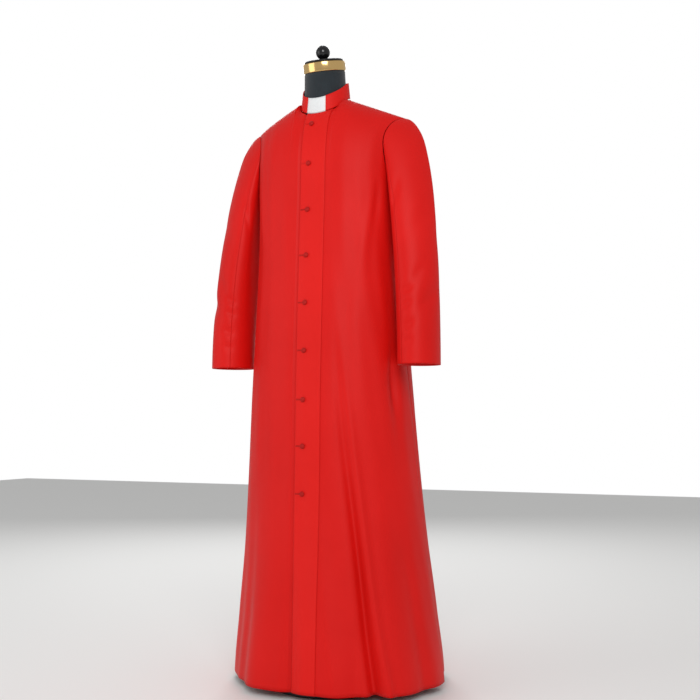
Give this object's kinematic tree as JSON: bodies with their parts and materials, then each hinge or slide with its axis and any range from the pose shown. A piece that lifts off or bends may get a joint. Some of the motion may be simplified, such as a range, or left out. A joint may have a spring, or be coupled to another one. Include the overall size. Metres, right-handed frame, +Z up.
{
  "type": "cassock on a dress form",
  "caption": "Red full-length cassock with a stand collar and white tab, covered buttons and set-in sleeves, worn on a black limbless dress form with a brass neck band and a round base.",
  "frame": {"origin": "centre of the stand base's flat underside, on the floor", "axes": "+Z up, -Y out of the cassock's front, +X towards the wearer's left"},
  "size_m": [0.606, 0.485, 1.5878],
  "materials": {
    "red_cloth": "satin-backed gabardine with a soft sheen",
    "white_tab": "smooth white collar tab",
    "jersey": "dark knitted jersey cover",
    "brass": "polished",
    "black_gloss": "glossy black",
    "stand_metal": "black powder coat"
  },
  "bodies": {
    "root": {"left_front": "red_cloth", "right_front": "red_cloth", "left_back": "red_cloth", "right_back": "red_cloth", "left_side_pleat": "red_cloth", "right_side_pleat": "red_cloth", "left_collar": "red_cloth", "right_collar": "red_cloth", "button_band": "red_cloth", "left_upper_sleeve": "red_cloth", "right_upper_sleeve": "red_cloth", "left_under_sleeve": "red_cloth", "right_under_sleeve": "red_cloth", "button_1": "red_cloth", "button_2": "red_cloth", "button_3": "red_cloth", "button_4": "red_cloth", "button_5": "red_cloth", "button_6": "red_cloth", "button_7": "red_cloth", "button_8": "red_cloth", "button_9": "red_cloth", "collar_tab": "white_tab", "torso_form": "jersey", "neck_band": "brass", "neck_cap": "black_gloss", "neck_finial": "black_gloss", "stand_base": "stand_metal", "stand_pole": "stand_metal"}
  },
  "joints": []
}
